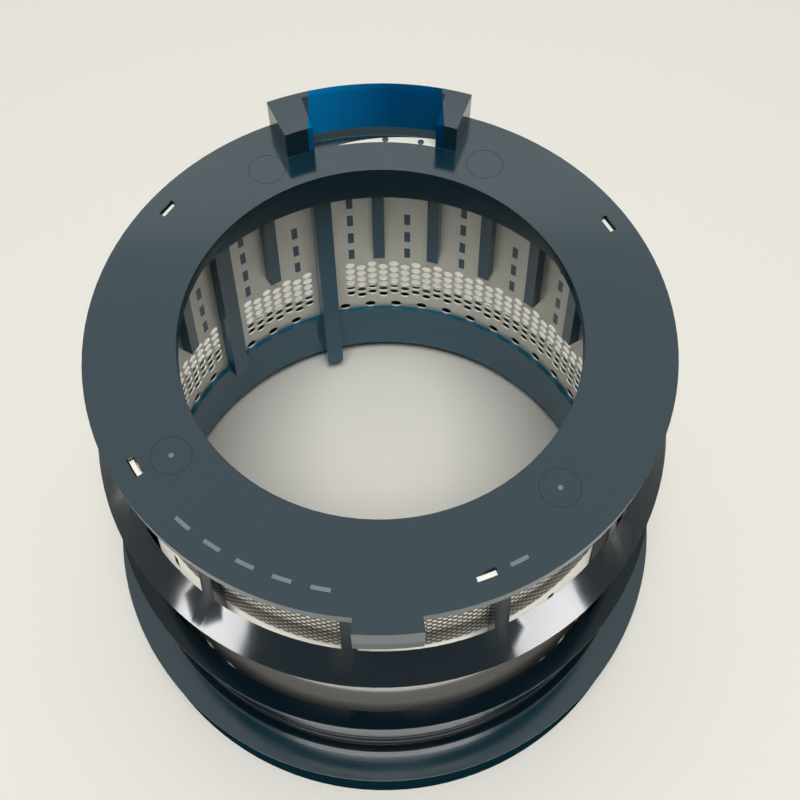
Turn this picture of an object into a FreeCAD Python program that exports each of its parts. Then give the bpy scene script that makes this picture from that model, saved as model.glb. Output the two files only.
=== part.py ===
import FreeCAD, Part
import os
import Sketcher

# Slow juicer mesh screen: a conical perforated steel sheet with a plastic frame moulded onto it.
# It stands on its flange. +Z is up and the finger tab is on the +Y side. Millimetres.

# Driving sizes. Levels are heights above the table, angles are degrees.
SIZES = [
    ("ring_level", 84), ("ring_radius", 45), ("ring_thickness", 2.2),
    ("throat_radius", 31), ("sleeve_depth", 18), ("sleeve_wall", 2.2), ("cover_wall", 1),
    ("wall_radius", 41.95), ("cone_angle", 4.7), ("sheet_thickness", 0.5), ("flat_count", 100),
    ("liner_level", 20.5), ("liner_foot", 4.1), ("liner_wall", 2.4),
    ("trough_level", 13.2), ("trough_gap", 0.91),
    ("skirt_wall", 1.5), ("rim_level", 38), ("rim_lip", 1.5), ("rim_thickness", 2),
    ("rear_rim_level", 23.7), ("rear_angle", 150),
    ("step_level", 15.5), ("step_reach", 1.4),
    ("flange_level", 12.7), ("flange_reach", 4.7), ("flange_thickness", 2.2), ("foot_wall", 2.2),
    ("collar_drop", 18.5), ("collar_inset", 0.5), ("collar_overhang", 3.6), ("collar_height", 5.6),
    ("fin_count", 12), ("fin_angle", 3.1), ("fin_inset", 2.5), ("fin_drop", 34.6),
    ("rib_count", 24), ("rib_angle", 3.2), ("rib_depth", 2.1), ("rib_drop", 39.7),
    ("guide_angle", 4.8), ("guide_reach", 3.9), ("low_guide_level", 18.5), ("low_guide_depth", 2.5),
    ("tab_height", 5.4), ("tab_angle", 44.6), ("tab_reach", 8), ("tab_wall", 1.1),
    ("scoop_angle", 31.8), ("scoop_foot", 5.6), ("scoop_depth", 0.9),
    ("lug_angle", 12), ("lug_reach", 2.2), ("lug_height", 7), ("lug_root", 3),
    ("slot_inset", 2.8), ("slot_width", 1.2), ("slot_angle", 4.3),
    ("hole_height", 1.75), ("hole_angle", 2.3), ("hole_pitch", 2.35), ("hole_drop", 45.15),
    ("hole_columns", 10), ("hole_arc", 194.4),
    ("drain_height", 2.1), ("drain_angle", 2.7), ("drain_drop", 62.3), ("drain_count", 20),
]
HOLE_ROWS = 6

# Turns about Z from +X at which features sit, degrees.
GUIDE_TURN = 105
LOW_GUIDE_TURN = 135
SLOT_TURNS = (27, 145, 212, 289)
FIN_TURN = 22.5
TAB_TURN = 91.3
SCOOP_TURN = 90.4
REAR_TURN = 90
LUG_TURN = 270
HIGH_COLUMN_TURN = -7.2
LOW_COLUMN_TURN = 10.8
DRAIN_TURN = 3.6

doc = FreeCAD.newDocument("juicer_mesh_screen")
sheet = doc.addObject("Spreadsheet::Sheet", "Sizes")
for row, (alias, value) in enumerate(SIZES, start=1):
    sheet.set("A%d" % row, alias)
    sheet.set("B%d" % row, str(value))
    sheet.setAlias("B%d" % row, alias)
doc.recompute()


def size(text):
    """Expression in which every word that is a driving size points at the sheet."""
    for alias, value in sorted(SIZES, key=lambda item: -len(item[0])):
        text = text.replace("<" + alias + ">", "Sizes." + alias)
    return text


def cone(level, outside=False):
    """Radius of the sheet's inner or outer face at a level."""
    radius = "<wall_radius>"
    radius += " + (<ring_level> - <sleeve_depth> - (%s)) * tan(<cone_angle>)" % level
    return radius + (" + <sheet_thickness> / cos(<cone_angle>)" if outside else "")


def inlet(level):
    """Radius half way into the sheet, where the plastic is drawn to before the sheet is cut from it."""
    return cone(level) + " + <sheet_thickness> / 2"


# Levels and radii that several outlines share.
ring_under = "<ring_level> - <ring_thickness>"
sleeve_level = "<ring_level> - <sleeve_depth>"
rib_top = sleeve_level + " + <cover_wall>"
scoop_floor = "<ring_level> - <scoop_depth>"
mouth = cone("<liner_foot>") + " - <cover_wall>"
flange_under = "<flange_level> - <flange_thickness>"
skirt_inside = cone("<trough_level>", True) + " + <trough_gap>"
neck = skirt_inside + " + <skirt_wall>"
step = neck + " + <step_reach>"
flange = step + " + <flange_reach>"
rim = neck + " + <rim_lip>"
collar_level = "<ring_level> - <collar_drop>"
collar_foot = collar_level + " - <collar_height>"
collar_top = "<ring_radius> - <collar_inset>"
collar_out = "<ring_radius> + <collar_overhang>"
fin_foot = "<ring_level> - <fin_drop>"
rib_foot = "<ring_level> - <rib_drop>"
tab_level = "<ring_level> + <tab_height>"


def origin_feature(body, role):
    return [item for item in body.Origin.OriginFeatures if item.Role == role][0]


def sketch_on(body, name, turn):
    """Upright sketch through the axis, turned about Z from the XZ plane."""
    sketch = body.newObject("Sketcher::SketchObject", name)
    sketch.AttachmentSupport = (origin_feature(body, "XZ_Plane"), [""])
    sketch.MapMode = "FlatFace"
    spin = FreeCAD.Rotation(FreeCAD.Vector(0, 1, 0), turn)
    sketch.AttachmentOffset = FreeCAD.Placement(FreeCAD.Vector(), spin)
    return sketch


def bind(sketch, kind, places, text):
    value = sketch.evalExpression(size(text))
    index = sketch.addConstraint(Sketcher.Constraint(kind, *places, float(value)))
    sketch.setExpression("Constraints[%d]" % index, size(text))


def outline(body, name, loops, turn=0):
    """Closed loops of straight edges. A corner is a pair of expressions: radius or width, and level."""
    sketch = sketch_on(body, name, turn)
    for corners in loops:
        first = sketch.GeometryCount
        spots = [[float(sketch.evalExpression(size(text))) for text in corner] for corner in corners]
        points = [FreeCAD.Vector(x, y, 0) for x, y in spots]
        for start, end in zip(points, points[1:] + points[:1]):
            sketch.addGeometry(Part.LineSegment(start, end), False)
        for number in range(len(points)):
            following = first + (number + 1) % len(points)
            sketch.addConstraint(Sketcher.Constraint("Coincident", first + number, 2, following, 1))
        for number, (radius, level) in enumerate(corners, start=first):
            bind(sketch, "DistanceX", (-1, 1, number, 1), radius)
            if level == "0":
                sketch.addConstraint(Sketcher.Constraint("PointOnObject", number, 1, -1))
            else:
                bind(sketch, "DistanceY", (-1, 1, number, 1), level)
    return sketch


def turned(body, name, loops, turn=0, angle=None, cut=False):
    """Revolution or groove of loops about Z: all the way, or an angle about their middle."""
    sketch = outline(body, name + "_outline", loops, turn)
    kind = "PartDesign::Groove" if cut else "PartDesign::Revolution"
    feature = body.newObject(kind, name)
    feature.Profile = sketch
    feature.ReferenceAxis = (sketch, ["V_Axis"])
    feature.Angle = 360
    if angle:
        feature.Midplane = True
        feature.setExpression("Angle", size(angle))
    body.Tip = feature
    return feature


def around(body, name, feature, count, arc="360"):
    """Copies of a feature about Z: all round, or along an arc."""
    doc.recompute()
    pattern = body.newObject("PartDesign::PolarPattern", name)
    pattern.Originals = [feature]
    pattern.Axis = (origin_feature(body, "Z_Axis"), [""])
    pattern.setExpression("Angle", size(arc))
    pattern.setExpression("Occurrences", size(count))
    body.Tip = pattern
    return pattern


# The moulded frame
frame = doc.addObject("PartDesign::Body", "frame")
frame.Label = "frame_body"

# Base: inner liner, trough, outer skirt with its rim, stepped neck and the flange it stands on
turned(frame, "base", [[
    (mouth, "<liner_foot>"),
    (mouth + " + <liner_wall>", "<liner_foot>"),
    (mouth + " + <liner_wall>", flange_under),
    (flange + " - <foot_wall>", flange_under),
    (flange + " - <foot_wall>", "0"),
    (flange, "0"),
    (flange, "<flange_level>"),
    (step, "<flange_level>"),
    (step, "<step_level>"),
    (neck, "<step_level>"),
    (neck, "<rim_level> - <rim_thickness>"),
    (rim, "<rim_level> - <rim_thickness>"),
    (rim, "<rim_level>"),
    (skirt_inside, "<rim_level>"),
    (skirt_inside, "<trough_level>"),
    (inlet("<trough_level>"), "<trough_level>"),
    (inlet("<liner_level>"), "<liner_level>"),
    (cone("<liner_level>") + " - <cover_wall>", "<liner_level>"),
]])

# Guide ribs: one that deepens all the way to the mouth and a shorter one
turned(frame, "guide", [[
    (inlet(rib_top), rib_top),
    (cone(rib_top) + " - <rib_depth>", rib_top),
    (mouth + " - <guide_reach>", "<liner_foot>"),
    (mouth, "<liner_foot>"),
    (inlet("<trough_level>"), "<trough_level>"),
]], GUIDE_TURN, "<guide_angle>")
turned(frame, "low_guide", [[
    (inlet(rib_top), rib_top),
    (cone(rib_top) + " - <rib_depth>", rib_top),
    (cone("<low_guide_level>") + " - <low_guide_depth>", "<low_guide_level>"),
    (inlet("<low_guide_level>"), "<low_guide_level>"),
]], LOW_GUIDE_TURN, "<guide_angle>")

# Top ring, which reaches inwards to the throat, with the sleeve that lines the top of the sheet
turned(frame, "ring", [[
    ("<throat_radius>", "<ring_level>"),
    ("<ring_radius>", "<ring_level>"),
    ("<ring_radius>", ring_under),
    (inlet(ring_under), ring_under),
    (inlet(sleeve_level), sleeve_level),
    (cone(sleeve_level) + " - <sleeve_wall>", sleeve_level),
    (cone(sleeve_level) + " - <sleeve_wall>", ring_under),
    ("<throat_radius>", ring_under),
]])

# Short inner ribs that end above the perforated band
short_rib = turned(frame, "short_rib", [[
    (inlet(rib_top), rib_top),
    (cone(rib_top) + " - <rib_depth>", rib_top),
    (cone(rib_foot) + " - <rib_depth>", rib_foot),
    (inlet(rib_foot), rib_foot),
]], 0, "<rib_angle>")
around(frame, "short_ribs", short_rib, "<rib_count>")

# Outer fins that carry the collar
fin = turned(frame, "fin", [[
    (inlet(ring_under), ring_under),
    ("<ring_radius> - <fin_inset>", ring_under),
    (collar_top, collar_level),
    (collar_out, collar_foot),
    (inlet(fin_foot), fin_foot),
]], FIN_TURN, "<fin_angle>")
around(frame, "fins", fin, "<fin_count>")

# Conical collar that stands off the sheet
turned(frame, "collar", [[
    (collar_top, collar_level),
    (collar_out, collar_foot),
    (collar_top, collar_foot),
]])

# Finger tab on the back of the ring, scooped out between its two posts
turned(frame, "tab", [[
    ("<ring_radius> - <tab_reach>", ring_under),
    ("<ring_radius>", ring_under),
    ("<ring_radius>", tab_level),
    ("<ring_radius> - <tab_reach>", tab_level),
]], TAB_TURN, "<tab_angle>")
turned(frame, "scoop", [[
    ("<ring_radius> - <tab_reach>", scoop_floor),
    ("<ring_radius> - <scoop_foot>", scoop_floor),
    ("<ring_radius> - <tab_wall>", tab_level),
    ("<ring_radius> - <tab_reach>", tab_level),
]], SCOOP_TURN, "<scoop_angle>", cut=True)

# Lug on the front of the ring
turned(frame, "lug", [[
    ("<ring_radius> - <lug_root>", "<ring_level> - <lug_height>"),
    ("<ring_radius> + <lug_reach>", "<ring_level> - <lug_height>"),
    ("<ring_radius> + <lug_reach>", "<ring_level>"),
    ("<ring_radius> - <lug_root>", "<ring_level>"),
]], LUG_TURN, "<lug_angle>")

# Slots through the ring
for number, turn in enumerate(SLOT_TURNS):
    turned(frame, "slot_%d" % number, [[
        ("<ring_radius> - <slot_inset> - <slot_width>", ring_under),
        ("<ring_radius> - <slot_inset>", ring_under),
        ("<ring_radius> - <slot_inset>", "<ring_level>"),
        ("<ring_radius> - <slot_inset> - <slot_width>", "<ring_level>"),
    ]], turn, "<slot_angle>", cut=True)

# The skirt is cut down over the rear, where the juice leaves
turned(frame, "rear_opening", [[
    (skirt_inside + " - <skirt_wall>", "<rear_rim_level>"),
    (rim + " + <rim_lip>", "<rear_rim_level>"),
    (rim + " + <rim_lip>", "<rim_level> + <rim_lip>"),
    (skirt_inside + " - <skirt_wall>", "<rim_level> + <rim_lip>"),
]], REAR_TURN, "<rear_angle>", cut=True)

# The steel cone, rolled as narrow flats, one to a column of holes. It stands in the trough.
def frustum(name, outside):
    body = doc.addObject("PartDesign::Body", name)
    prism = body.newObject("PartDesign::AdditivePrism", name + "_prism")
    prism.AttachmentSupport = (origin_feature(body, "XY_Plane"), [""])
    prism.MapMode = "FlatFace"
    spin = FreeCAD.Rotation(FreeCAD.Vector(0, 0, 1), 1)
    prism.AttachmentOffset = FreeCAD.Placement(FreeCAD.Vector(), spin)
    prism.setExpression("AttachmentOffset.Rotation.Angle", size("180 / <flat_count>"))
    prism.setExpression("AttachmentOffset.Base.z", size("<trough_level>"))
    prism.setExpression("Polygon", size("<flat_count>"))
    foot_radius = "(%s) / cos(180 / <flat_count>)" % cone("<trough_level>", outside)
    prism.setExpression("Circumradius", size(foot_radius))
    prism.setExpression("Height", size(ring_under + " - <trough_level>"))
    doc.recompute()
    faces = list(enumerate(prism.Shape.Faces, start=1))
    sides = ["Face%d" % number for number, face in faces if abs(face.normalAt(0, 0).z) < 0.5]
    draft = body.newObject("PartDesign::Draft", name + "_draft")
    draft.Base = (prism, sides)
    draft.NeutralPlane = (origin_feature(body, "XY_Plane"), [""])
    draft.setExpression("Angle", size("<cone_angle>"))
    body.Tip = draft
    doc.recompute()
    return body


plain_sheet = doc.addObject("Part::Cut", "plain_sheet")
plain_sheet.Base = frustum("outer_cone", True)
plain_sheet.Tool = frustum("inner_cone", False)
doc.recompute()

# The plastic is moulded round the steel
moulded_frame = doc.addObject("Part::Cut", "moulded_frame")
moulded_frame.Base = frame
moulded_frame.Tool = plain_sheet

# The perforated steel screen
screen = doc.addObject("PartDesign::Body", "screen")
screen.Label = "steel_screen"
screen.BaseFeature = plain_sheet
doc.recompute()


def gap(drop, height):
    """Section of a gap through the sheet, its middle a drop below the ring's top."""
    middle = "<ring_level> - (%s)" % drop
    inside = cone(middle) + " - <cover_wall>"
    outside = cone(middle, True) + " + <cover_wall>"
    low = middle + " - %s / 2" % height
    high = middle + " + %s / 2" % height
    return [(inside, low), (outside, low), (outside, high), (inside, high)]


# Perforated band round the rear: columns of holes, every other column half a pitch lower
for name, turn, shift in (("high", HIGH_COLUMN_TURN, 0), ("low", LOW_COLUMN_TURN, 0.5)):
    drops = ["<hole_drop> + %g * <hole_pitch>" % (row + shift) for row in range(HOLE_ROWS)]
    loops = [gap(drop, "<hole_height>") for drop in drops]
    column = turned(screen, name + "_column", loops, turn, "<hole_angle>", cut=True)
    around(screen, "all_%s_columns" % name, column, "<hole_columns>", "<hole_arc>")

# Row of larger drain holes just above the liner
loops = [gap("<drain_drop>", "<drain_height>")]
drain = turned(screen, "drain", loops, DRAIN_TURN, "<drain_angle>", cut=True)
around(screen, "drains", drain, "<drain_count>")

doc.recompute()

for item in doc.Objects:
    if "Invalid" in item.State or "Error" in item.State:
        raise RuntimeError("%s failed: %s" % (item.Name, item.State))
os.makedirs("parts", exist_ok=True)
for body in (moulded_frame, screen):
    body.Placement = FreeCAD.Placement()
    shape = body.Shape
    if shape.isNull() or not shape.isValid() or len(shape.Solids) != 1:
        raise RuntimeError("%s is not one sound solid" % body.Label)
    shape.exportStep("parts/%s.step" % body.Label)
    print(body.Label, "volume %.0f mm3" % shape.Volume)
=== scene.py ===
import bpy
import math
from mathutils import Matrix, Vector


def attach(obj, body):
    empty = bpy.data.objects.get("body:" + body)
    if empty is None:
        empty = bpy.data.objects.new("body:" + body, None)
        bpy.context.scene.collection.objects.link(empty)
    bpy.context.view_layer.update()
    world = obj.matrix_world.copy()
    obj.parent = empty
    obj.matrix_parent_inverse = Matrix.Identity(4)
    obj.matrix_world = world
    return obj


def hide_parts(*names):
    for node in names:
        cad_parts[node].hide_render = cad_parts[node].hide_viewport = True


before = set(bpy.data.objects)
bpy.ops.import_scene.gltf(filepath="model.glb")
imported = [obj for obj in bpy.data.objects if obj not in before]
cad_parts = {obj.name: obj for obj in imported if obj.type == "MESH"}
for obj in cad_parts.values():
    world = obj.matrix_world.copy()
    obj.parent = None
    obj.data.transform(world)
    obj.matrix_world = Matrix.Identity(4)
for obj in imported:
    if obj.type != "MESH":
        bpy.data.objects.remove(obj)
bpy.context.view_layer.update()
mm = 0.001

print("stage: helpers")


def hexColor(text):
    parts = [int(text[i:i + 2], 16) / 255 for i in (0, 2, 4)]
    linear = [c / 12.92 if c <= 0.04045 else ((c + 0.055) / 1.055) ** 2.4 for c in parts]
    return (*linear, 1.0)


# An input is a value for the node's own socket, or the socket that feeds it
def addNode(tree, kind, inputs=None, **settings):
    node = tree.nodes.new(kind)
    for key, value in settings.items():
        setattr(node, key, value)
    for key, value in (inputs or {}).items():
        if isinstance(value, bpy.types.NodeSocket):
            tree.links.new(value, node.inputs[key])
        else:
            node.inputs[key].default_value = value
    return node


def newMaterial(name):
    material = bpy.data.materials.new(name)
    material.use_nodes = True
    material.node_tree.nodes.clear()
    return material, material.node_tree


def pickOnly(obj):
    bpy.ops.object.select_all(action="DESELECT")
    obj.select_set(True)
    bpy.context.view_layer.objects.active = obj


def applyModifiers(obj):
    pickOnly(obj)
    for modifier in list(obj.modifiers):
        bpy.ops.object.modifier_apply(modifier=modifier.name)


def joinAll(parts, name):
    bpy.ops.object.select_all(action="DESELECT")
    for part in parts:
        part.select_set(True)
    bpy.context.view_layer.objects.active = parts[0]
    if len(parts) > 1:
        bpy.ops.object.join()
    joined = bpy.context.view_layer.objects.active
    joined.name = name
    bpy.ops.object.transform_apply(location=True, rotation=True, scale=True)
    return joined


def turnedCopies(source, angles):
    copies = []
    for angle in angles:
        twin = source.copy()
        twin.data = source.data.copy()
        bpy.context.collection.objects.link(twin)
        twin.matrix_world = Matrix.Rotation(math.radians(angle), 4, "Z") @ source.matrix_world
        copies.append(twin)
    bpy.data.objects.remove(source)
    return copies


def onRing(angle, radius, level):
    return Matrix.Rotation(math.radians(angle), 4, "Z") @ Vector((radius * mm, 0, level * mm))


def dress(obj, material, smoothAngle=35):
    pickOnly(obj)
    bpy.ops.object.shade_smooth_by_angle(angle=math.radians(smoothAngle))
    obj.data.materials.clear()
    obj.data.materials.append(material)
    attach(obj, "root")


print("stage: materials")
wallSet = {"lean": 0.0822, "reach": 47.52}  # mid-sheet cone: radius + lean * height = reach


# Position split into axes, distance from the axis, and that distance corrected for the wall's lean
def wallCoords(tree):
    place = addNode(tree, "ShaderNodeTexCoord").outputs["Object"]
    axes = addNode(tree, "ShaderNodeSeparateXYZ", {"Vector": place}).outputs
    flat = addNode(tree, "ShaderNodeVectorMath", {0: place, 1: (1, 1, 0)}, operation="MULTIPLY")
    radius = addNode(tree, "ShaderNodeVectorMath", {
        0: flat.outputs["Vector"]}, operation="LENGTH").outputs["Value"]
    leaning = addNode(tree, "ShaderNodeMath", {
        0: axes["Z"], 1: wallSet["lean"], 2: radius}, operation="MULTIPLY_ADD")
    return place, axes, radius, leaning.outputs["Value"]


# Tinted styrene plastic, injection moulded: deep gloss with a slight haze. Thin walls look teal, the others
# nearly black, so the tint follows height and distance from the axis. The teal inside the sheet and the blue
# of the tab are painted glow, standing in for light coming through the plastic.
plasticSet = {
    "ring": "0B2A34", "body": "04121A", "inside": "18586F", "tab": "034468", "tabPaintedLit": "0878AE",
    "glow": "0A8AC2", "tabShare": 0.35, "plainShare": 0.03,
    "ior": 1.5, "smoothest": 0.08, "roughest": 0.19, "gloss": 0.5, "halfDull": 0.6,
    "hazeSize": 11.1, "rippleSize": 6.25, "rippleStrength": 0.03, "rippleDepth": 0.3,
    "tabLevel": 84.2, "tabHalfWidth": 11.2, "tabShadeRight": 3.0, "tabShadeLeft": -12.0,
    "insideLevel": 81.6, "bodyMiddle": 46.2, "bodyHalf": 33.3,
    "footReach": 54.8, "footLevel": 12.4,
}
plastic, tree = newMaterial("bluePlastic")
place, axes, radius, leaning = wallCoords(tree)
haze = addNode(tree, "ShaderNodeTexNoise", {
    "Vector": place, "Scale": 1 / (plasticSet["hazeSize"] * mm), "Detail": 6.0})
hazeRange = addNode(tree, "ShaderNodeMapRange", {
    "Value": haze.outputs["Fac"], "To Min": plasticSet["smoothest"], "To Max": plasticSet["roughest"]})
ripple = addNode(tree, "ShaderNodeTexNoise", {
    "Vector": place, "Scale": 1 / (plasticSet["rippleSize"] * mm), "Detail": 2.0})
bump = addNode(tree, "ShaderNodeBump", {
    "Height": ripple.outputs["Fac"], "Strength": plasticSet["rippleStrength"],
    "Distance": plasticSet["rippleDepth"] * mm})

# Scoop of the tab, between its posts
narrow = addNode(tree, "ShaderNodeMath", {
    0: axes["X"], 1: 0.0, 2: plasticSet["tabHalfWidth"] * mm}, operation="COMPARE").outputs["Value"]
tall = addNode(tree, "ShaderNodeMath", {
    0: axes["Z"], 1: plasticSet["tabLevel"] * mm}, operation="GREATER_THAN").outputs["Value"]
tabMask = addNode(tree, "ShaderNodeMath", {0: narrow, 1: tall}, operation="MULTIPLY").outputs["Value"]

# Everything within the sheet, below the ring
below = addNode(tree, "ShaderNodeMath", {
    0: axes["Z"], 1: plasticSet["insideLevel"] * mm}, operation="LESS_THAN").outputs["Value"]
within = addNode(tree, "ShaderNodeMath", {
    0: leaning, 1: wallSet["reach"] * mm}, operation="LESS_THAN").outputs["Value"]
insideMask = addNode(tree, "ShaderNodeMath", {0: below, 1: within}, operation="MULTIPLY").outputs["Value"]

# Fins, collar, skirt and neck
bodyMask = addNode(tree, "ShaderNodeMath", {
    0: axes["Z"], 1: plasticSet["bodyMiddle"] * mm, 2: plasticSet["bodyHalf"] * mm},
    operation="COMPARE").outputs["Value"]

# Outer wall of the foot, below the flange's edge
outer = addNode(tree, "ShaderNodeMath", {
    0: radius, 1: plasticSet["footReach"] * mm}, operation="GREATER_THAN").outputs["Value"]
low = addNode(tree, "ShaderNodeMath", {
    0: axes["Z"], 1: plasticSet["footLevel"] * mm}, operation="LESS_THAN").outputs["Value"]
footMask = addNode(tree, "ShaderNodeMath", {0: outer, 1: low}, operation="MULTIPLY").outputs["Value"]

dull = addNode(tree, "ShaderNodeMath", {0: tabMask, 1: footMask}, operation="ADD").outputs["Value"]
softer = addNode(tree, "ShaderNodeMath", {0: insideMask, 1: bodyMask}, operation="MAXIMUM").outputs["Value"]
dullAll = addNode(tree, "ShaderNodeMath", {
    0: softer, 1: plasticSet["halfDull"], 2: dull}, operation="MULTIPLY_ADD").outputs["Value"]
gloss = addNode(tree, "ShaderNodeMath", {
    0: dullAll, 1: -plasticSet["gloss"], 2: plasticSet["gloss"]}, operation="MULTIPLY_ADD")
bodyTint = addNode(tree, "ShaderNodeMix", {
    0: bodyMask, 6: hexColor(plasticSet["ring"]), 7: hexColor(plasticSet["body"])}, data_type="RGBA")
# Painted glow: walls inside the sheet are painted teal for light coming through the plastic
insidePaintedGlow = addNode(tree, "ShaderNodeMix", {
    0: insideMask, 6: bodyTint.outputs[2], 7: hexColor(plasticSet["inside"])}, data_type="RGBA")
# Painted light: the scoop's blue is painted glow, brighter towards its left where more light comes through
tabLightSide = addNode(tree, "ShaderNodeMapRange", {
    "Value": axes["X"], "From Min": plasticSet["tabShadeRight"] * mm,
    "From Max": plasticSet["tabShadeLeft"] * mm})
tabLitAndShaded = addNode(tree, "ShaderNodeMix", {
    0: tabLightSide.outputs["Result"], 6: hexColor(plasticSet["tab"]), 7: hexColor(plasticSet["tabPaintedLit"])},
    data_type="RGBA")
tabTint = addNode(tree, "ShaderNodeMix", {
    0: tabMask, 6: insidePaintedGlow.outputs[2], 7: tabLitAndShaded.outputs[2]}, data_type="RGBA")
shell = addNode(tree, "ShaderNodeBsdfPrincipled", {
    "Base Color": tabTint.outputs[2], "Roughness": hazeRange.outputs["Result"], "IOR": plasticSet["ior"],
    "Specular IOR Level": gloss.outputs["Value"], "Normal": bump.outputs["Normal"]})
glow = addNode(tree, "ShaderNodeBsdfTranslucent", {"Color": hexColor(plasticSet["glow"])})
glowShare = addNode(tree, "ShaderNodeMath", {
    0: tabMask, 1: plasticSet["tabShare"], 2: plasticSet["plainShare"]}, operation="MULTIPLY_ADD")
mix = addNode(tree, "ShaderNodeMixShader", {
    0: glowShare.outputs["Value"], 1: shell.outputs["BSDF"], 2: glow.outputs["BSDF"]})
addNode(tree, "ShaderNodeOutputMaterial", {"Surface": mix.outputs["Shader"]})

# Stainless steel sheet, rolled and brushed: satin sheen with fine lines up the wall, which are drawn
# coarser than real so that they show. Outside, behind the fins, it carries a strip of fine dots for
# perforations:
# pale dots of painted light coming through them, on a ground painted dark as shade.
steelSet = {
    "color": "DAD8CE", "bandPaintedShade": "4E4A45", "dotPaintedLight": "D8D2C4",
    "metal": 0.3, "smoothest": 0.32, "roughest": 0.52,
    "grainWidth": 0.96, "grainLength": 8.33, "grainStrength": 0.06, "grainDepth": 0.3,
    "dotPitch": 1.5, "dotShare": 0.33, "bandRadius": 40.5, "bandMiddle": 71.35, "bandHalf": 10.85,
}
steel, tree = newMaterial("brushedSteel")
place, axes, radius, leaning = wallCoords(tree)
across, lengthways = (1 / (steelSet[key] * mm) for key in ("grainWidth", "grainLength"))
stretch = addNode(tree, "ShaderNodeMapping", {"Vector": place, "Scale": (across, across, lengthways)})
grain = addNode(tree, "ShaderNodeTexNoise", {
    "Vector": stretch.outputs["Vector"], "Scale": 1.0, "Detail": 8.0})
grainRange = addNode(tree, "ShaderNodeMapRange", {
    "Value": grain.outputs["Fac"], "To Min": steelSet["smoothest"], "To Max": steelSet["roughest"]})
bump = addNode(tree, "ShaderNodeBump", {
    "Height": grain.outputs["Fac"], "Strength": steelSet["grainStrength"],
    "Distance": steelSet["grainDepth"] * mm})

# Staggered dots: cells that run slantwise up and down the band
bearing = addNode(tree, "ShaderNodeMath", {0: axes["Y"], 1: axes["X"]}, operation="ARCTAN2").outputs["Value"]
along = addNode(tree, "ShaderNodeMath", {
    0: bearing, 1: steelSet["bandRadius"] / steelSet["dotPitch"]}, operation="MULTIPLY").outputs["Value"]
rise = addNode(tree, "ShaderNodeMath", {
    0: axes["Z"], 1: 1 / (steelSet["dotPitch"] * mm)}, operation="MULTIPLY").outputs["Value"]
cell = {}
for axis, operation in (("X", "ADD"), ("Y", "SUBTRACT")):
    slant = addNode(tree, "ShaderNodeMath", {0: along, 1: rise}, operation=operation)
    part = addNode(tree, "ShaderNodeMath", {0: slant.outputs["Value"]}, operation="FRACT")
    centred = addNode(tree, "ShaderNodeMath", {0: part.outputs["Value"], 1: 0.5}, operation="SUBTRACT")
    cell[axis] = centred.outputs["Value"]
offset = addNode(tree, "ShaderNodeCombineXYZ", cell)
spread = addNode(tree, "ShaderNodeVectorMath", {0: offset.outputs["Vector"]}, operation="LENGTH")
inDot = addNode(tree, "ShaderNodeMath", {
    0: spread.outputs["Value"], 1: steelSet["dotShare"]}, operation="LESS_THAN").outputs["Value"]
atLevel = addNode(tree, "ShaderNodeMath", {
    0: axes["Z"], 1: steelSet["bandMiddle"] * mm, 2: steelSet["bandHalf"] * mm},
    operation="COMPARE").outputs["Value"]
outside = addNode(tree, "ShaderNodeMath", {
    0: leaning, 1: wallSet["reach"] * mm}, operation="GREATER_THAN").outputs["Value"]
inBand = addNode(tree, "ShaderNodeMath", {0: atLevel, 1: outside}, operation="MULTIPLY").outputs["Value"]
# Painted light and shade: pale lit dots on a ground darkened as shade
dotsLitOnShade = addNode(tree, "ShaderNodeMix", {
    0: inDot, 6: hexColor(steelSet["bandPaintedShade"]), 7: hexColor(steelSet["dotPaintedLight"])}, data_type="RGBA")
bandTint = addNode(tree, "ShaderNodeMix", {
    0: inBand, 6: hexColor(steelSet["color"]), 7: dotsLitOnShade.outputs[2]}, data_type="RGBA")
sheetShader = addNode(tree, "ShaderNodeBsdfPrincipled", {
    "Base Color": bandTint.outputs[2], "Metallic": steelSet["metal"],
    "Roughness": grainRange.outputs["Result"], "Normal": bump.outputs["Normal"]})
addNode(tree, "ShaderNodeOutputMaterial", {"Surface": sheetShader.outputs["BSDF"]})

# The same plastic made pale, cloudy and half matt. On the ring's dashes this paleness is painted light
# coming through thin spots in the ring
paleSet = {"color": "566C74", "smoothest": 0.2, "roughest": 0.5, "cloudSize": 1.667}
palePlastic, tree = newMaterial("bluePlasticPale")
place = addNode(tree, "ShaderNodeTexCoord").outputs["Object"]
cloud = addNode(tree, "ShaderNodeTexNoise", {
    "Vector": place, "Scale": 1 / (paleSet["cloudSize"] * mm), "Detail": 2.0})
cloudRange = addNode(tree, "ShaderNodeMapRange", {
    "Value": cloud.outputs["Fac"], "To Min": paleSet["smoothest"], "To Max": paleSet["roughest"]})
pale = addNode(tree, "ShaderNodeBsdfPrincipled", {
    "Base Color": hexColor(paleSet["color"]), "Roughness": cloudRange.outputs["Result"]})
addNode(tree, "ShaderNodeOutputMaterial", {"Surface": pale.outputs["BSDF"]})

print("stage: steel screen")
screenSet = {
    "footLevel": 13.2, "topLevel": 81.8, "meetLevel": 66.0, "meetRadius": 41.95, "slope": 4.7,
    "thickness": 0.3, "segments": 200, "cutDepth": 5.0,
    "highColumns": 2, "lowColumns": 5, "columnStep": 6, "holeArc": (-24, 204), "holeClear": 4.5,
    "holeRadius": 1.02, "holeSides": 14, "holeTop": 38.85, "holePitch": 2.35, "holeRows": 6,
    "drainRadius": 1.2, "drainSides": 16, "drainLevel": 21.7, "drainStart": 6.34, "drainStep": 7.2,
    "drainCount": 50, "drainClear": 4,
    "windowWidth": 1.2, "windowHeight": 3.7, "windowStart": 7.4, "windowStep": 15, "fillShare": 0.8,
    "windowLevels": (55.75, 49.5, 43.4), "topWindow": 61.7, "topWindowStep": 30,
    "guideAngles": (105, 135),
}


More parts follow.
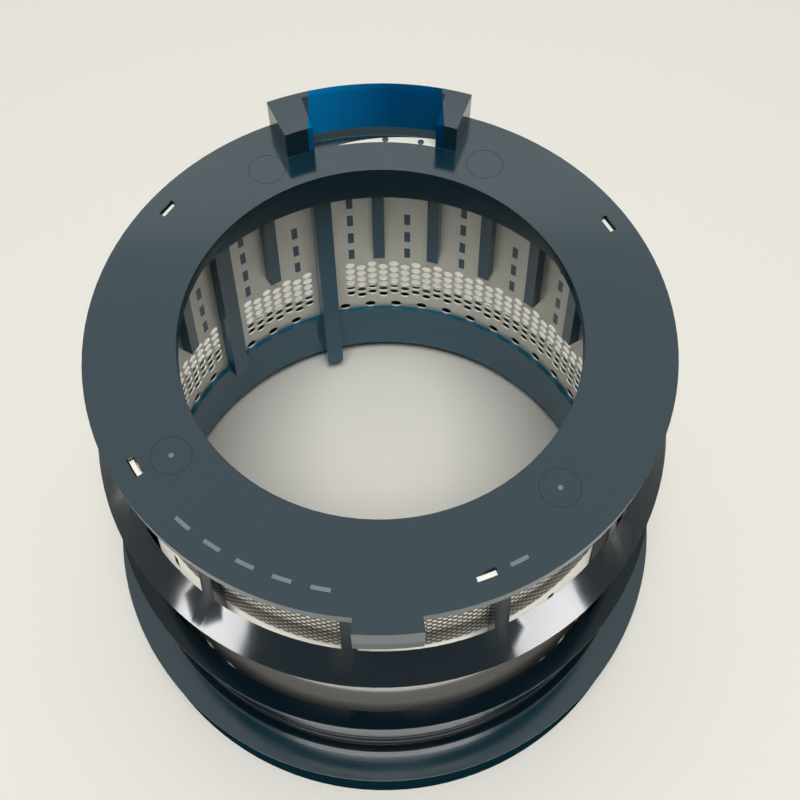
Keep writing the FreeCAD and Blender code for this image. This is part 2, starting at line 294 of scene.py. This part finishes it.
def coneRadius(level):
    rise = screenSet["meetLevel"] - level
    return screenSet["meetRadius"] + rise * math.tan(math.radians(screenSet["slope"]))


# Lays a piece's own Z axis through the sheet at that height
def onCone(level, offset=0.0):
    spin = Matrix.Rotation(math.radians(90 - screenSet["slope"]), 4, "Y")
    place = Matrix.Translation(Vector(((coneRadius(level) + offset) * mm, 0, level * mm)))
    return place @ spin


def clearOfGuides(angles, reach):
    guides = screenSet["guideAngles"]
    return [angle for angle in angles if all(abs(angle - guide) >= reach for guide in guides)]


bpy.ops.mesh.primitive_cone_add(
    vertices=screenSet["segments"], end_fill_type="NOTHING",
    radius1=coneRadius(screenSet["footLevel"]) * mm, radius2=coneRadius(screenSet["topLevel"]) * mm,
    depth=(screenSet["topLevel"] - screenSet["footLevel"]) * mm,
    location=(0, 0, (screenSet["topLevel"] + screenSet["footLevel"]) / 2 * mm))
screen = bpy.context.object
screen.name = "steelScreen"
bpy.ops.object.transform_apply(location=True, rotation=True, scale=True)
thicken = screen.modifiers.new("thickness", "SOLIDIFY")
thicken.thickness = screenSet["thickness"] * mm
thicken.offset = 1
applyModifiers(screen)

# Perforations: every other column half a pitch lower
cutters = []
arcStart, arcEnd = screenSet["holeArc"]
for first, lower in ((screenSet["highColumns"], 0), (screenSet["lowColumns"], 0.5)):
    column = []
    for row in range(screenSet["holeRows"]):
        level = screenSet["holeTop"] - (row + lower) * screenSet["holePitch"]
        bpy.ops.mesh.primitive_cylinder_add(
            vertices=screenSet["holeSides"], radius=screenSet["holeRadius"] * mm,
            depth=screenSet["cutDepth"] * mm)
        peg = bpy.context.object
        peg.matrix_world = onCone(level)
        column.append(peg)
    column = joinAll(column, "pegColumn")
    angles = range(first - 360, 360, screenSet["columnStep"])
    angles = [angle for angle in angles if arcStart < angle < arcEnd]
    cutters += turnedCopies(column, clearOfGuides(angles, screenSet["holeClear"]))

bpy.ops.mesh.primitive_cylinder_add(
    vertices=screenSet["drainSides"], radius=screenSet["drainRadius"] * mm, depth=screenSet["cutDepth"] * mm)
peg = bpy.context.object
peg.matrix_world = onCone(screenSet["drainLevel"])
peg = joinAll([peg], "drainPeg")
drains = range(screenSet["drainCount"])
angles = [screenSet["drainStart"] + screenSet["drainStep"] * number for number in drains]
cutters += turnedCopies(peg, clearOfGuides(angles, screenSet["drainClear"]))

# Windows, each with the plastic that fills it. The top row is only seen round the rear.
fills = []
for level in (*screenSet["windowLevels"], screenSet["topWindow"]):
    isTop = level == screenSet["topWindow"]
    step = screenSet["topWindowStep"] if isTop else screenSet["windowStep"]
    angles = [screenSet["windowStart"] + step * number for number in range(360 // step)]
    if isTop:
        angles = [angle for angle in angles if angle < arcEnd]
    fillDepth = screenSet["thickness"] * screenSet["fillShare"]
    for depth, home in ((screenSet["cutDepth"], cutters), (fillDepth, fills)):
        bpy.ops.mesh.primitive_cube_add(size=1)
        block = bpy.context.object
        block.scale = (screenSet["windowHeight"] * mm, screenSet["windowWidth"] * mm, depth * mm)
        bpy.context.view_layer.update()
        block.matrix_world = onCone(level, screenSet["thickness"] / 2) @ block.matrix_world
        block = joinAll([block], "windowBlock")
        home += turnedCopies(block, angles)
cutter = joinAll(cutters, "screenCutter")
fill = joinAll(fills, "windowFills")

carve = screen.modifiers.new("holes", "BOOLEAN")
carve.operation = "DIFFERENCE"
carve.solver = "EXACT"
carve.object = cutter
applyModifiers(screen)
bpy.data.objects.remove(cutter)
dress(screen, steel)
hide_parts("steel_screen")
dress(fill, plastic)

print("stage: moulded frame")
frameSet = {
    "smoothAngle": 35, "weldGap": 0.002, "flatAngle": 0.4,
    "edge": 0.25, "edgeSegments": 2, "edgeAngle": 40,
}
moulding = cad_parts["moulded_frame"]
pickOnly(moulding)
bpy.ops.object.shade_smooth_by_angle(angle=math.radians(frameSet["smoothAngle"]))
weld = moulding.modifiers.new("weld", "WELD")
weld.merge_threshold = frameSet["weldGap"] * mm
dissolve = moulding.modifiers.new("flatFaces", "DECIMATE")
dissolve.decimate_type = "DISSOLVE"
dissolve.angle_limit = math.radians(frameSet["flatAngle"])
soften = moulding.modifiers.new("edges", "BEVEL")
soften.width = frameSet["edge"] * mm
soften.segments = frameSet["edgeSegments"]
soften.limit_method = "ANGLE"
soften.angle_limit = math.radians(frameSet["edgeAngle"])
soften.use_clamp_overlap = True
even = moulding.modifiers.new("evenNormals", "WEIGHTED_NORMAL")
even.weight = 100
even.keep_sharp = True
moulding.data.materials.clear()
moulding.data.materials.append(plastic)

print("stage: small parts of the ring and neck")
ringSet = {
    "top": 84.0, "scoopFloor": 83.1,
    "slots": (27, 145, 212, 289), "slotHalf": 2.0, "slotFloor": 83.2, "slotInner": 41.25, "slotWide": 0.7,
    "slotThick": 0.3,
    "crescent": (74.7, 102.6), "crescentInner": 37.1, "crescentWide": 2.25, "crescentTip": 0.05,
    "crescentThick": 0.1, "crescentRise": 0.06, "crescentTaper": 0.6,
    "marks": (227.8, 235.2, 242.6, 250.2, 257.7, 295.7), "markHalf": 1.9, "markInner": 41.3, "markWide": 0.6,
    "markThick": 0.03,
    "rearPins": (120, 60.5), "frontPins": (214, 312.5), "pinReach": 36.5, "pinRadius": 3.0, "pinLine": 0.07,
    "pinDot": 0.4,
    "dots": (87.7, 78.6), "dotReach": 38.2, "dotRadius": 0.55, "dotRise": 0.12, "dotThick": 0.1,
    "beadLevels": (17.8, 21.5), "beadReach": 49.25, "beadRadius": 0.3,
}


# A flat strip bent round the axis between two angles, as wide at each end as said
def sectorPlate(name, ends, level, thickness, inner, wides, steps, taper=1.0):
    bpy.ops.mesh.primitive_grid_add(x_subdivisions=steps, y_subdivisions=1, size=1)
    plate = bpy.context.object
    plate.name = name
    for vertex in plate.data.vertices:
        along = vertex.co.x + 0.5
        across = vertex.co.y + 0.5
        wide = wides[1] + (wides[0] - wides[1]) * (1 - along) ** taper
        vertex.co = onRing(ends[0] + (ends[1] - ends[0]) * along, inner + wide * across, level)
    bpy.ops.object.mode_set(mode="EDIT")
    bpy.ops.mesh.select_all(action="SELECT")
    bpy.ops.mesh.normals_make_consistent(inside=False)
    bpy.ops.object.mode_set(mode="OBJECT")
    body = plate.modifiers.new("body", "SOLIDIFY")
    body.thickness = thickness * mm
    body.offset = 0
    applyModifiers(plate)
    return plate


# Steel that shows in the ring's slots and behind the tab
plates = []
for angle in ringSet["slots"]:
    ends = (angle - ringSet["slotHalf"], angle + ringSet["slotHalf"])
    wides = (ringSet["slotWide"], ringSet["slotWide"])
    plates.append(sectorPlate(
        "slotPlate", ends, ringSet["slotFloor"], ringSet["slotThick"], ringSet["slotInner"], wides, 4))
plates.append(sectorPlate(
    "crescent", ringSet["crescent"], ringSet["scoopFloor"] + ringSet["crescentRise"],
    ringSet["crescentThick"], ringSet["crescentInner"],
    (ringSet["crescentWide"], ringSet["crescentTip"]), 24, ringSet["crescentTaper"]))
dress(joinAll(plates, "steelShowing"), steel)

# Pale dashes on the ring, painted light through thin spots, and the dots in its two front pin circles
marks = []
for angle in ringSet["marks"]:
    ends = (angle - ringSet["markHalf"], angle + ringSet["markHalf"])
    wides = (ringSet["markWide"], ringSet["markWide"])
    marks.append(sectorPlate(
        "mark", ends, ringSet["top"], ringSet["markThick"], ringSet["markInner"], wides, 4))
for angle in ringSet["frontPins"]:
    bpy.ops.mesh.primitive_cylinder_add(
        vertices=16, radius=ringSet["pinDot"] * mm, depth=ringSet["markThick"] * mm,
        location=onRing(angle, ringSet["pinReach"], ringSet["top"]))
    marks.append(bpy.context.object)
dress(joinAll(marks, "ringMarks"), palePlastic)

# Dark dots on the crescent, pin circles, and the fine beads round the neck
details = []
for angle in ringSet["dots"]:
    bpy.ops.mesh.primitive_cylinder_add(
        vertices=20, radius=ringSet["dotRadius"] * mm, depth=ringSet["dotThick"] * mm,
        location=onRing(angle, ringSet["dotReach"], ringSet["scoopFloor"] + ringSet["dotRise"]))
    details.append(bpy.context.object)
for angle in (*ringSet["rearPins"], *ringSet["frontPins"]):
    bpy.ops.mesh.primitive_torus_add(
        major_segments=40, minor_segments=6, major_radius=ringSet["pinRadius"] * mm,
        minor_radius=ringSet["pinLine"] * mm, location=onRing(angle, ringSet["pinReach"], ringSet["top"]))
    details.append(bpy.context.object)
for level in ringSet["beadLevels"]:
    bpy.ops.mesh.primitive_torus_add(
        major_segments=128, minor_segments=10, major_radius=ringSet["beadReach"] * mm,
        minor_radius=ringSet["beadRadius"] * mm, location=(0, 0, level * mm))
    details.append(bpy.context.object)
dress(joinAll(details, "ringDetails"), plastic)

print("stage: floor, light, camera")
# Painted table top: near white and matt, with a faint mottle
floorSet = {"color": "DFDCD3", "radius": 300.0, "smoothest": 0.5, "roughest": 0.62, "mottleSize": 333.3}
floorPaint, tree = newMaterial("paleTable")
place = addNode(tree, "ShaderNodeTexCoord").outputs["Object"]
mottle = addNode(tree, "ShaderNodeTexNoise", {
    "Vector": place, "Scale": 1 / (floorSet["mottleSize"] * mm), "Detail": 3.0})
mottleRange = addNode(tree, "ShaderNodeMapRange", {
    "Value": mottle.outputs["Fac"], "To Min": floorSet["smoothest"], "To Max": floorSet["roughest"]})
paint = addNode(tree, "ShaderNodeBsdfPrincipled", {
    "Base Color": hexColor(floorSet["color"]), "Roughness": mottleRange.outputs["Result"]})
addNode(tree, "ShaderNodeOutputMaterial", {"Surface": paint.outputs["BSDF"]})
bpy.ops.mesh.primitive_circle_add(vertices=96, radius=floorSet["radius"] * mm, fill_type="NGON")
floor = bpy.context.object
floor.name = "table"
floor.data.materials.append(floorPaint)

# A pale room for what is seen directly or in gloss, and a dim one for the light that it gives
roomSet = {"seenColor": "F4F4EE", "seen": 0.8, "lightColor": "DDE4E6", "light": 0.16}
world = bpy.data.worlds.new("studio")
bpy.context.scene.world = world
world.use_nodes = True
tree = world.node_tree
tree.nodes.clear()
rays = addNode(tree, "ShaderNodeLightPath").outputs
direct = addNode(tree, "ShaderNodeMath", {
    0: rays["Is Camera Ray"], 1: rays["Is Glossy Ray"]}, operation="MAXIMUM").outputs["Value"]
anySeen = addNode(tree, "ShaderNodeMath", {0: direct, 1: rays["Is Transmission Ray"]}, operation="MAXIMUM")
seenRoom = addNode(tree, "ShaderNodeBackground", {
    "Color": hexColor(roomSet["seenColor"]), "Strength": roomSet["seen"]})
lightRoom = addNode(tree, "ShaderNodeBackground", {
    "Color": hexColor(roomSet["lightColor"]), "Strength": roomSet["light"]})
blend = addNode(tree, "ShaderNodeMixShader", {
    0: anySeen.outputs["Value"], 1: lightRoom.outputs["Background"], 2: seenRoom.outputs["Background"]})
addNode(tree, "ShaderNodeOutputWorld", {"Surface": blend.outputs["Shader"]})

# Places and sizes in metres. The two low windows give the glare on the collar.
lights = [
    {"name": "overhead", "power": 3.5, "place": (0, 0.35, 1), "aim": (0, 0.35, 0), "size": (1.6, 1.1)},
    {"name": "backWall", "power": 2.6, "place": (0, 1.05, 0.95), "aim": (0, 0, 0.05), "size": (1.6, 0.6)},
    {"name": "nearCamera", "power": 8.4, "place": (0, -0.28, 1), "aim": (0, 0, 0), "size": (0.45, 0.35)},
    {"name": "windowLeft", "power": 5.0, "place": (-0.65, -0.52, -0.06), "aim": (0, 0, 0.06),
     "size": (0.3, 0.16)},
    {"name": "windowRight", "power": 5.0, "place": (0.6, -0.57, -0.06), "aim": (0, 0, 0.06),
     "size": (0.3, 0.16)},
]
for item in lights:
    data = bpy.data.lights.new(item["name"], "AREA")
    data.shape = "RECTANGLE"
    data.size, data.size_y = item["size"]
    data.energy = item["power"]
    lamp = bpy.data.objects.new(item["name"], data)
    bpy.context.collection.objects.link(lamp)
    lamp.location = item["place"]
    toward = Vector(item["aim"]) - Vector(item["place"])
    lamp.rotation_euler = toward.to_track_quat("-Z", "Y").to_euler()

cameraSet = {
    "place": (0.00007, -0.08392, 0.21843), "ahead": (0.0164, 0.4696, -0.8827), "roll": 0.376,
    "lens": 46.8, "sensor": 36, "nearest": 0.005,
}
cameraData = bpy.data.cameras.new("photoCamera")
cameraData.lens = cameraSet["lens"]
cameraData.sensor_width = cameraSet["sensor"]
cameraData.clip_start = cameraSet["nearest"]
camera = bpy.data.objects.new("photoCamera", cameraData)
bpy.context.collection.objects.link(camera)
ahead = Vector(cameraSet["ahead"]).normalized()
right = ahead.cross(Vector((0, 0, 1))).normalized()
up = right.cross(ahead)
roll = math.radians(cameraSet["roll"])
tiltedRight = right * math.cos(roll) + up * math.sin(roll)
tiltedUp = tiltedRight.cross(ahead)
turn = Matrix((tiltedRight, tiltedUp, -ahead)).transposed().to_4x4()
camera.matrix_world = Matrix.Translation(Vector(cameraSet["place"])) @ turn
bpy.context.scene.camera = camera
bpy.context.scene.view_settings.view_transform = "Standard"
